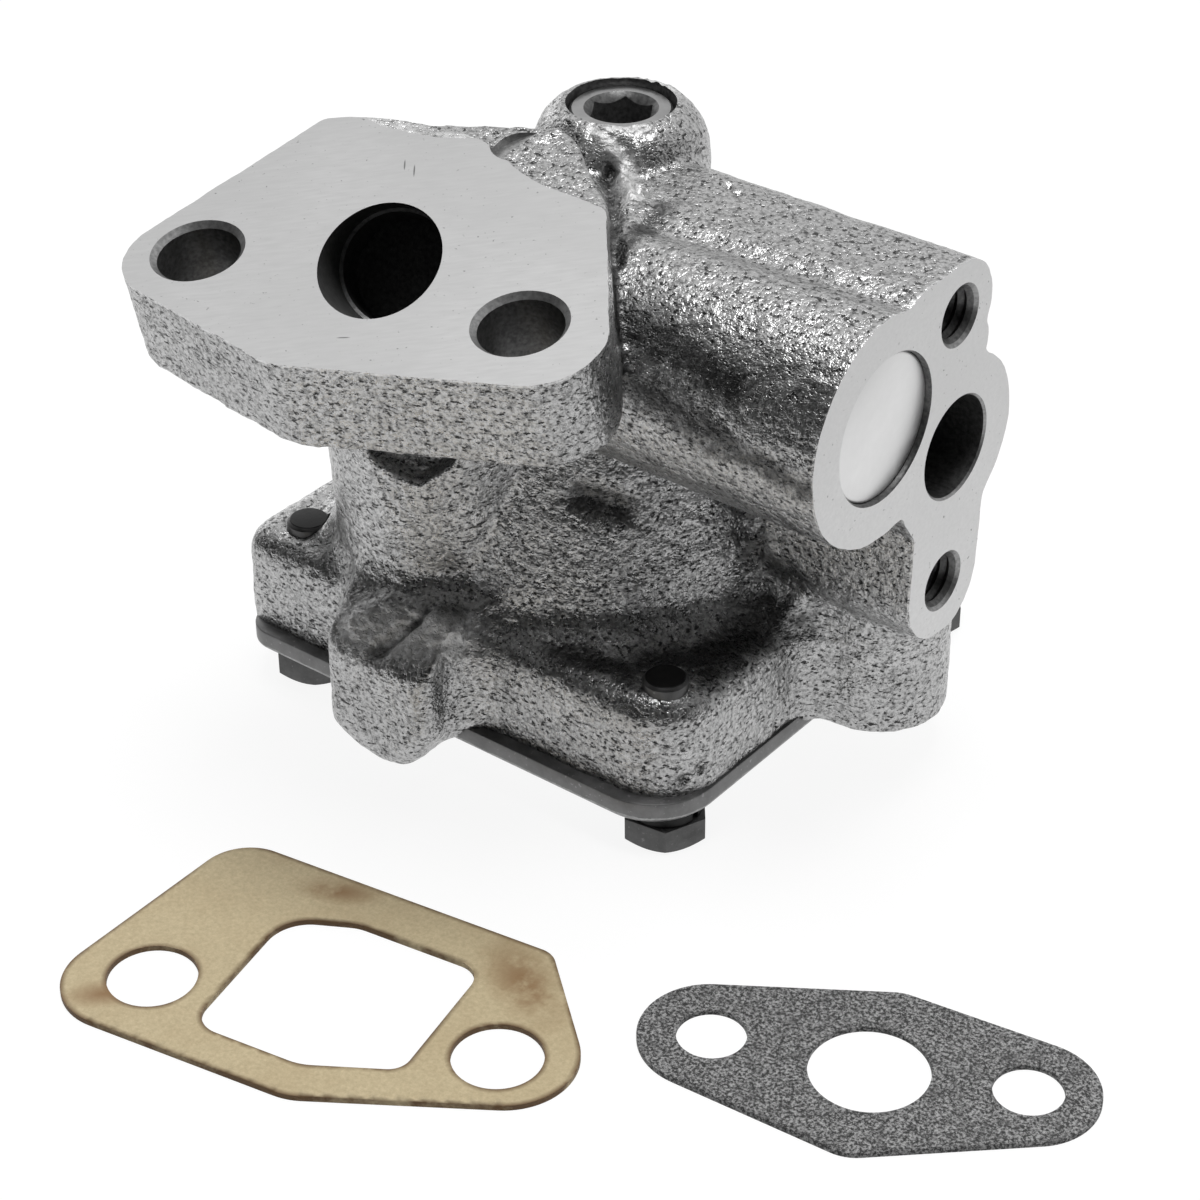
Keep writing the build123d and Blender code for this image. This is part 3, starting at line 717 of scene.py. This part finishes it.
# Lines of painted shade, in the same form; on the barrel and by the flange they also stand in for
# dark reflections
painted_shade_places = [
    ((13.6, -27.5, 44.7), (18.6, -24.4, 43.0), 2.9),
    ((5.9, -10.3, 84.1), (19.5, -27.0, 82.3), 1.2),
    ((19.5, -27.0, 82.3), (27.2, -35.9, 77.2), 1.6),
    ((17.0, -36.0, 24.4), (28.0, -33.0, 24.4), 3.6),
    ((28.5, -30.0, 24.4), (35.0, -22.0, 24.6), 5.0),
    ((34.0, -22.0, 25.0), (37.0, -5.1, 24.8), 4.8),
    ((37.3, -5.2, 24.0), (35.6, -5.8, 34.0), 2.4),
    ((24.0, -31.4, 78.0), (43.0, -33.8, 75.0), 3.4),
    ((24.0, -34.5, 71.5), (44.0, -35.7, 67.8), 3.6),
    ((44.0, -35.7, 67.8), (56.0, -35.4, 65.5), 2.4),
    ((20.0, -34.0, 24.4), (32.0, -34.0, 24.3), 3.4),
    ((30.0, -32.5, 24.4), (35.5, -27.0, 24.4), 3.6),
    ((-7.1, -46.9, 20.3), (-2.0, -40.8, 26.1), 1.1),
    ((17.5, -13.5, 83.8), (19.0, -26.0, 82.3), 2.2),
]

# Hollows where the painted shade is lifted, in the same form
unshaded_places = [
    ((-13.0, -47.0, 20.5), (2.0, -43.0, 24.5), 4.6),
    ((-5.0, -41.0, 27.5), (20.0, -30.0, 26.5), 4.2),
]


# Pump body: a rough casting, then its machined faces and holes
def filler_rows():
    """What closes the blank's holes: mouth, axis, length outside and inside, and radius."""
    over = cast_allowance
    wide = flange_hole_r + 1 * mm
    rows = [(mouth, flange_normal, over, flange_thick, wide) for mouth in flange_holes]
    rows += [(mouth, side_normal, over, 8 * mm, screw_r + 0.5 * mm) for mouth in screw_holes]
    rows += [
        (outlet_mouth, flange_normal, over, 9 * mm, 12.6 * mm),
        (inlet_mouth, side_normal, over, 8 * mm, inlet_r + 0.4 * mm),
        (plug_seat, side_normal, over, 8.4 * mm, plug_r + 0.8 * mm),
        (shaft_top, up, 0.3 * mm + rim_lift, 30 * mm, shaft_r + 1.4 * mm),
        (dimple, dimple_normal, -0.1 * mm, 3 * mm, 3.4 * mm),
        (side_notch, side_normal, over, 30 * mm, 4.0 * mm),
    ]
    for name in bolt_names:
        middle = node_box(name)[0]
        rows.append((Vector((middle.x, middle.y, cover_high.z)), -up, over, 15 * mm, 3.6 * mm))
    return rows


def plugged_blank():
    """The body with metal left on its machined faces, and its holes filled at their mouths."""
    blank = nodes["pump_body"].data.copy()
    places = vertex_places(blank)
    lift_face(places, flange_point, flange_normal, cast_allowance)
    lift_face(places, side_point, side_normal, cast_allowance)
    lift_face(places, Vector((0, 0, joint_height)), -up, cast_allowance)
    lift_face(places, Vector((0, 0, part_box("pump_body")[1].z)), up, rim_lift)
    set_places(blank, places)
    fillers = []
    for mouth, axis, outside, inside, radius in filler_rows():
        ends = [(outside, radius), (-inside, radius)]
        fillers.append(lathe("filler", mouth, axis, ends, sides=36))
    return joined([blank, merged(fillers, "fillers")], "blank")


def hollow_filling(blank):
    """Metal that rounds the hollow corners at the foot of the dome, the lug and the column."""
    reach = 90 * mm
    upper = block("upper", (-reach, -reach, hollow_end), (reach, reach, hollow_end + reach))
    mesh = cut(voxels(blank.copy(), hollow_voxel, "grown"), [[upper]], "grown")
    mesh = voxels(mesh, hollow_voxel, "grown")
    set_places(mesh, vertex_places(mesh) + hollow_r * vertex_normals(mesh))
    mesh = voxels(mesh, hollow_voxel, "shrunk")
    places = vertex_places(mesh)
    above = np.clip((places[:, 2] - hollow_top) / hollow_fade, 0, 1)
    shrink = hollow_r + hollow_inset + above * hollow_r
    places -= vertex_normals(mesh) * shrink[:, None]
    set_places(mesh, places)
    return mesh


def rough_casting():
    """The casting as it leaves the mould, before any machining."""
    blank = plugged_blank()
    mesh = voxels(joined([blank, hollow_filling(blank)], "solid"), cast_voxel, "casting")
    mesh = smoothed(mesh, cast_smooth_turns, "casting")
    places = vertex_places(mesh)
    normals = vertex_normals(mesh)
    for row in hollows_and_lumps:
        press(places, normals, *row)
    crumble(places, normals, closeness(places, rough_places))
    set_places(mesh, places)
    piece = new_piece("casting", mesh)
    for i, (size, height) in enumerate(cast_waves):
        wave = bpy.data.textures.new(f"cast_wave_{i}", "CLOUDS")
        wave.noise_scale = size
        wave.noise_depth = wave_depth
        ripple = piece.modifiers.new(f"wave_{i}", "DISPLACE")
        ripple.texture = wave
        ripple.texture_coords = "LOCAL"
        ripple.strength = height
        ripple.mid_level = wave_level
    mesh = taken(piece)
    mesh.materials.clear()
    mesh.materials.append(materials["cast_iron"])
    return mesh


def face_cutters():
    """A group for each milled plane: the flange face, the side face and the cover's joint."""
    machined, machined_side = materials["machined"], materials["machined_side"]
    thickness, clear = 12 * mm, 0.4 * mm
    flange_reach, side_reach = 90 * mm, 60 * mm
    low = (-side_reach, cover_low.y - clear, 0)
    high = (cover_high.x + clear, side_reach, joint_height)
    return [
        [slab("cut_flange", flange_point, flange_normal, flange_reach, thickness, machined)],
        [slab("cut_side", side_point, side_normal, side_reach, thickness, machined_side)],
        [block("cut_joint", low, high, machined)],
    ]


def hole(name, mouth, outward, radius, depth, chamfer):
    """Two cutters: the break of a hole's edge, and the straight hole."""
    cone = [(chamfer, radius + 2 * chamfer), (-1.5 * chamfer, radius - 0.5 * chamfer)]
    sides = [(4 * mm, radius), (-depth, radius)]
    edge = lathe(name + "_edge", mouth, outward, cone, materials["chamfer"])
    return edge, lathe(name, mouth, outward, sides, materials["bored"])


def screw_hole(mouth):
    """Two cutters: a countersink, and a threaded hole."""
    start, depth, pitch, thread = -0.5 * mm, 15 * mm, 1.41 * mm, 0.55 * mm
    sink = [(0.4 * mm, screw_r + 0.8 * mm), (start, screw_r)]
    screw = [(2 * mm, screw_r - 0.1 * mm)]
    screw += threads(start, depth, screw_r, screw_r - thread, pitch)
    edge = lathe("cut_sink", mouth, side_normal, sink, materials["chamfer"])
    return edge, lathe("cut_screw", mouth, side_normal, screw, materials["bored"])


def outlet_hole():
    """The outlet's bore, with a step inside its mouth."""
    step, step_depth, end = 0.45 * mm, 7 * mm, 17.6 * mm
    profile = [(30 * mm, outlet_r), (-step_depth, outlet_r)]
    profile += [(-step_depth - step / 2, outlet_r - step), (-end, outlet_r - step)]
    return lathe("cut_outlet", outlet_point, outlet_axis, profile, materials["bored"])


def valve_hole():
    """The relief valve's bore: the plug's seat, then the plunger's way."""
    seat_depth, depth, lip, slope = 8.5 * mm, 48.2 * mm, 0.45 * mm, 0.25 * mm
    bore_r, seat_r = plunger_r + running_gap, plug_r + 0.02 * mm
    profile = [(slope, seat_r + lip), (-slope, seat_r), (-seat_depth, seat_r)]
    profile += [(-seat_depth, bore_r), (-depth, bore_r)]
    return lathe("cut_valve", plug_seat, side_normal, profile, materials["bored"])


def shaft_hole():
    """The shaft's bore, which widens at the top of the boss."""
    close_r = shaft_r + 0.08 * mm
    profile = [(4 * mm, shaft_r + 0.6 * mm), (0.3 * mm, shaft_r + 0.45 * mm)]
    profile += [(-2 * mm, shaft_r + 0.3 * mm), (-3 * mm, close_r), (-70 * mm, close_r)]
    return lathe("cut_mouth", shaft_top, up, profile, materials["bored"])


def rotor_pocket():
    """The round pocket that the rotors turn in, open at the joint."""
    radius, depth = ring_size.x / 2 + 0.1 * mm, 20 * mm
    top = ring_middle + Vector((0, 0, ring_size.z / 2 + running_gap))
    return lathe("cut_pocket", top, up, [(0, radius), (-depth, radius)], materials["bored"], 144)


def bolt_hole(name):
    radius, over, depth = 3.22 * mm, 1 * mm, 22 * mm
    ends = [(over, radius), (-depth, radius)]
    return lathe("cut_bolt", top_of(name), up, ends, materials["bored"], 48)


def crescent():
    """The mark that a leaning cutter left on the cast patch behind the flange face."""
    lean = (flange_normal + Vector((-0.36, 0.08, 0))).normalized()
    centre = on_flange(-1.5, -19.5) - flange_normal * 0.6 * mm
    profile = [(5 * mm, 4.2 * mm), (0, 3.9 * mm)]
    return lathe("cut_crescent", centre, lean, profile, materials["chamfer"])


def unmilled_strip():
    """The low strip along the flange's back edge, which widens towards the boss."""
    left, right = on_flange(-25.0, -23.8), on_flange(-4.5, -15.2)
    length, radius, depth = (right - left).length, 17 * mm, 0.6 * mm
    profile = [(0, radius - depth), (0.5 * length, radius), (length, radius)]
    start = left + flange_normal * (radius - depth)
    heading = (right - left).normalized()
    return lathe("cut_strip", start, heading, profile, materials["cast_iron"], 96)


def make_cutters():
    """Groups of cutters. No two cutters of a group overlap."""
    plain = [hole("cut_hole", mouth, flange_normal, flange_hole_r, 20 * mm, 0.78 * mm)
             for mouth in flange_holes]
    plain.append(hole("cut_inlet", inlet_mouth, side_normal, inlet_r, 34 * mm, 0.3 * mm))
    plain_edges, plain_bores = zip(*plain)
    sinks, screws = zip(*[screw_hole(mouth) for mouth in screw_holes])
    edges = [*plain_edges, *sinks, shaft_hole(), crescent()]
    bores = [*plain_bores, outlet_hole(), valve_hole(), *screws, rotor_pocket()]
    bores += [bolt_hole(name) for name in bolt_names]
    return [*face_cutters(), [unmilled_strip()], edges, bores]


def mark_skin(mesh):
    """Note how rough the skin is and how much painted shade it gets, for the material."""
    soft = smoothed(mesh.copy(), shade_turns, "soft")
    places = vertex_places(mesh)
    sunk = ((vertex_places(soft) - places) * vertex_normals(mesh)).sum(axis=1)
    dark = closeness(places, painted_shade_places)
    rough = closeness(places, rough_places)
    shade = np.where(places[:, 2] < shade_split, shade_low, shade_high)
    shade = shade * (1 - unshaded_share * closeness(places, unshaded_places))
    hollow = np.clip(sunk / shade_depth, -1, 2) * shade
    hollow += dark_share * dark - rough_share * rough * (1 - dark)
    set_attribute(mesh, "rough", rough)
    set_attribute(mesh, "hollow", hollow)


def make_casting():
    mesh = cut(rough_casting(), make_cutters(), "casting")
    mesh.name = "casting"
    mark_skin(mesh)
    shade_smooth(mesh, cast_crease)
    return new_piece("casting", mesh)


casting = make_casting()
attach(casting, "pump")
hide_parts("pump_body")


# Cover, bolts and shaft with broken edges, plug and spring
def welded(mesh):
    """A CAD mesh with its corners joined and its flat faces whole."""
    shape = bmesh.new()
    shape.from_mesh(mesh)
    bmesh.ops.remove_doubles(shape, verts=shape.verts, dist=0.001 * mm)
    bmesh.ops.dissolve_limit(shape, angle_limit=radians(1), verts=shape.verts, edges=shape.edges)
    return mesh_from(shape, mesh.name + "_dressed")


def dressed(name, edge, body="pump"):
    """A rigid node with its edges broken."""
    piece = new_piece(name + "_dressed", welded(nodes[name].data), materials[slots[name]])
    bevel = piece.modifiers.new("edge", "BEVEL")
    bevel.width = edge
    bevel.segments = 2
    bevel.limit_method = "ANGLE"
    bevel.angle_limit = radians(broken_from)
    mesh = taken(piece)
    shade_smooth(mesh, steel_crease)
    piece = new_piece(name + "_dressed", mesh)
    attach(piece, body)
    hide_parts(name)
    return piece


def make_shaft():
    """The drive shaft, with painted shade inside its socket."""
    mesh = dressed("drive_shaft", steel_edge, "rotor_drive").data
    mesh.materials.append(materials["bored"])
    for polygon in mesh.polygons:
        away = (polygon.center - shaft_top).xy.length
        if away < socket_r and 0.01 * mm < shaft_top.z - polygon.center.z < socket_depth:
            polygon.material_index = 1


def make_plug():
    """The pressed-in plug that closes the relief valve, with its rounded rim."""
    start = plug_middle.x - plug_size.x / 2
    length = side_point.x - plug_inset - start
    rim = [(0, plug_r - 0.3 * mm), (0.3 * mm, plug_r), (length - 0.5 * mm, plug_r)]
    rim += [(length - 0.15 * mm, plug_r - 0.14 * mm), (length, plug_r - 0.5 * mm)]
    centre = Vector((start, plug_middle.y, plug_middle.z))
    piece = lathe("plug_rounded", centre, side_normal, rim, materials["bright_plate"], 96)
    shade_smooth(piece.data, plug_crease)
    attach(piece, "pump")
    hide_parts("relief_plug")


def make_spring():
    """The relief spring, a copy of its CAD mesh that rides with the pump."""
    piece = new_piece("relief_spring_coil", nodes["relief_spring"].data.copy())
    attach(piece, "pump")
    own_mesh(piece)
    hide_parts("relief_spring")


dressed("cover_plate", cover_edge)
for name in bolt_names:
    dressed(name, steel_edge)
make_shaft()
make_plug()
make_spring()


# Gaskets, with a fine mesh that knows how near its rim is
def wall_points(mesh):
    """Places of the vertices that stand on the gasket's cut edges."""
    found = set()
    for polygon in mesh.polygons:
        if abs(polygon.normal.z) < 0.5:
            found.update(polygon.vertices)
    return vertex_places(mesh)[sorted(found)]


def rim_values(mesh, batch=2000):
    """1 on the gasket's cut edges, falling to 0 over the width of the rim."""
    places, walls = vertex_places(mesh), wall_points(mesh)
    nearest = np.empty(len(places))
    for start in range(0, len(places), batch):
        away = places[start:start + batch, None, :2] - walls[None, :, :2]
        nearest[start:start + batch] = np.sqrt((away ** 2).sum(axis=2)).min(axis=1)
    return np.clip(1 - nearest / gasket_rim, 0, 1)


def make_gasket(name):
    mesh = welded(nodes[name].data)
    shape = bmesh.new()
    shape.from_mesh(mesh)
    bmesh.ops.triangulate(shape, faces=shape.faces)
    for _ in range(gasket_turns):
        long_edges = [edge for edge in shape.edges if edge.calc_length() > gasket_mesh]
        if not long_edges:
            break
        bmesh.ops.subdivide_edges(shape, edges=long_edges, cuts=1)
        bmesh.ops.triangulate(shape, faces=shape.faces)
    shape.to_mesh(mesh)
    shape.free()
    set_attribute(mesh, "rim", rim_values(mesh))
    shade_smooth(mesh, steel_crease)
    piece = new_piece(name + "_dressed", mesh, materials[slots[name]])
    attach(piece, "pump")
    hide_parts(name)


make_gasket("mounting_gasket")
make_gasket("pickup_gasket")


# Camera, floor and light. The studio is bright above and behind the object, and dark in front.
bright_side = Vector((-0.25, 0.9, 0.35)).normalized()
bright_from, bright_to = -0.1, 0.65
studio_dark, studio_bright = 0.02, 0.8
floor_corners = ((-0.32, -0.24), (0.34, -0.24), (0.34, 0.34), (-0.32, 0.34))
floor_drop = 0.02 * mm
floor_tone = 0.9
glow_strength, glow_share = 1.06, 0.85

# Soft boxes: place, target, size, and radiance, where 1 is white
lamps = {
    "key": ((0.06, -0.04, 0.9), (0.02, -0.05, 0.05), (0.34, 0.34), 13),
    "left": ((-0.75, 0.3, 0.2), (0, -0.03, 0.05), (0.3, 0.4), 1.5),
}


def make_camera():
    data = bpy.data.cameras.new("camera")
    data.lens = camera_lens
    data.sensor_width = camera_sensor
    data.clip_start = camera_clip
    camera = add_object("camera", data)
    turn = Euler((radians(90 - camera_elevation), 0, radians(camera_azimuth))).to_matrix()
    roll = Matrix.Rotation(radians(camera_roll), 3, "Z")
    camera.matrix_world = Matrix.Translation(camera_place) @ (turn @ roll).to_4x4()
    bpy.context.scene.camera = camera


def make_lamp(name, place, target, size, radiance):
    data = bpy.data.lights.new(name, "AREA")
    data.shape = "RECTANGLE"
    data.size, data.size_y = size
    data.energy = radiance * pi * size[0] * size[1]
    lamp = add_object(name, data)
    lamp.location = place
    lamp.rotation_euler = (Vector(target) - Vector(place)).to_track_quat("-Z", "Y").to_euler()


def floor_material():
    """Plain white to the camera, which still takes the object's soft shadow."""
    material = bpy.data.materials.new("white_floor")
    material.use_nodes = True
    tree = material.node_tree
    tree.nodes.clear()
    diffuse = tree.nodes.new("ShaderNodeBsdfDiffuse")
    put(tree, diffuse.inputs[0], gray(floor_tone))
    glow = tree.nodes.new("ShaderNodeEmission")
    glow.inputs["Strength"].default_value = glow_strength
    path = tree.nodes.new("ShaderNodeLightPath")
    seen = math_node(tree, "MAXIMUM", path.outputs["Is Camera Ray"], path.outputs["Is Glossy Ray"])
    mix = tree.nodes.new("ShaderNodeMixShader")
    out = tree.nodes.new("ShaderNodeOutputMaterial")
    tree.links.new(math_node(tree, "MULTIPLY", seen, glow_share), mix.inputs[0])
    tree.links.new(diffuse.outputs[0], mix.inputs[1])
    tree.links.new(glow.outputs[0], mix.inputs[2])
    tree.links.new(mix.outputs[0], out.inputs[0])
    return material


def make_floor():
    shape = bmesh.new()
    shape.faces.new([shape.verts.new((x, y, 0)) for x, y in floor_corners])
    floor = new_piece("floor", mesh_from(shape, "floor"), floor_material())
    floor.location.z = -floor_drop


def make_world():
    world = bpy.data.worlds.new("studio")
    world.use_nodes = True
    bpy.context.scene.world = world
    tree = world.node_tree
    heading = tree.nodes.new("ShaderNodeTexCoord").outputs["Generated"]
    toward = dot_product(tree, heading, bright_side)
    level = ramp(tree, toward, bright_from, bright_to, studio_dark, studio_bright)
    path = tree.nodes.new("ShaderNodeLightPath")
    shade = mix_color(tree, path.outputs["Is Camera Ray"], level, gray(1))
    tree.links.new(shade, tree.nodes["Background"].inputs[0])
    bpy.context.scene.view_settings.view_transform = "Standard"


make_camera()
make_floor()
make_world()
for name, row in lamps.items():
    make_lamp(name, *row)
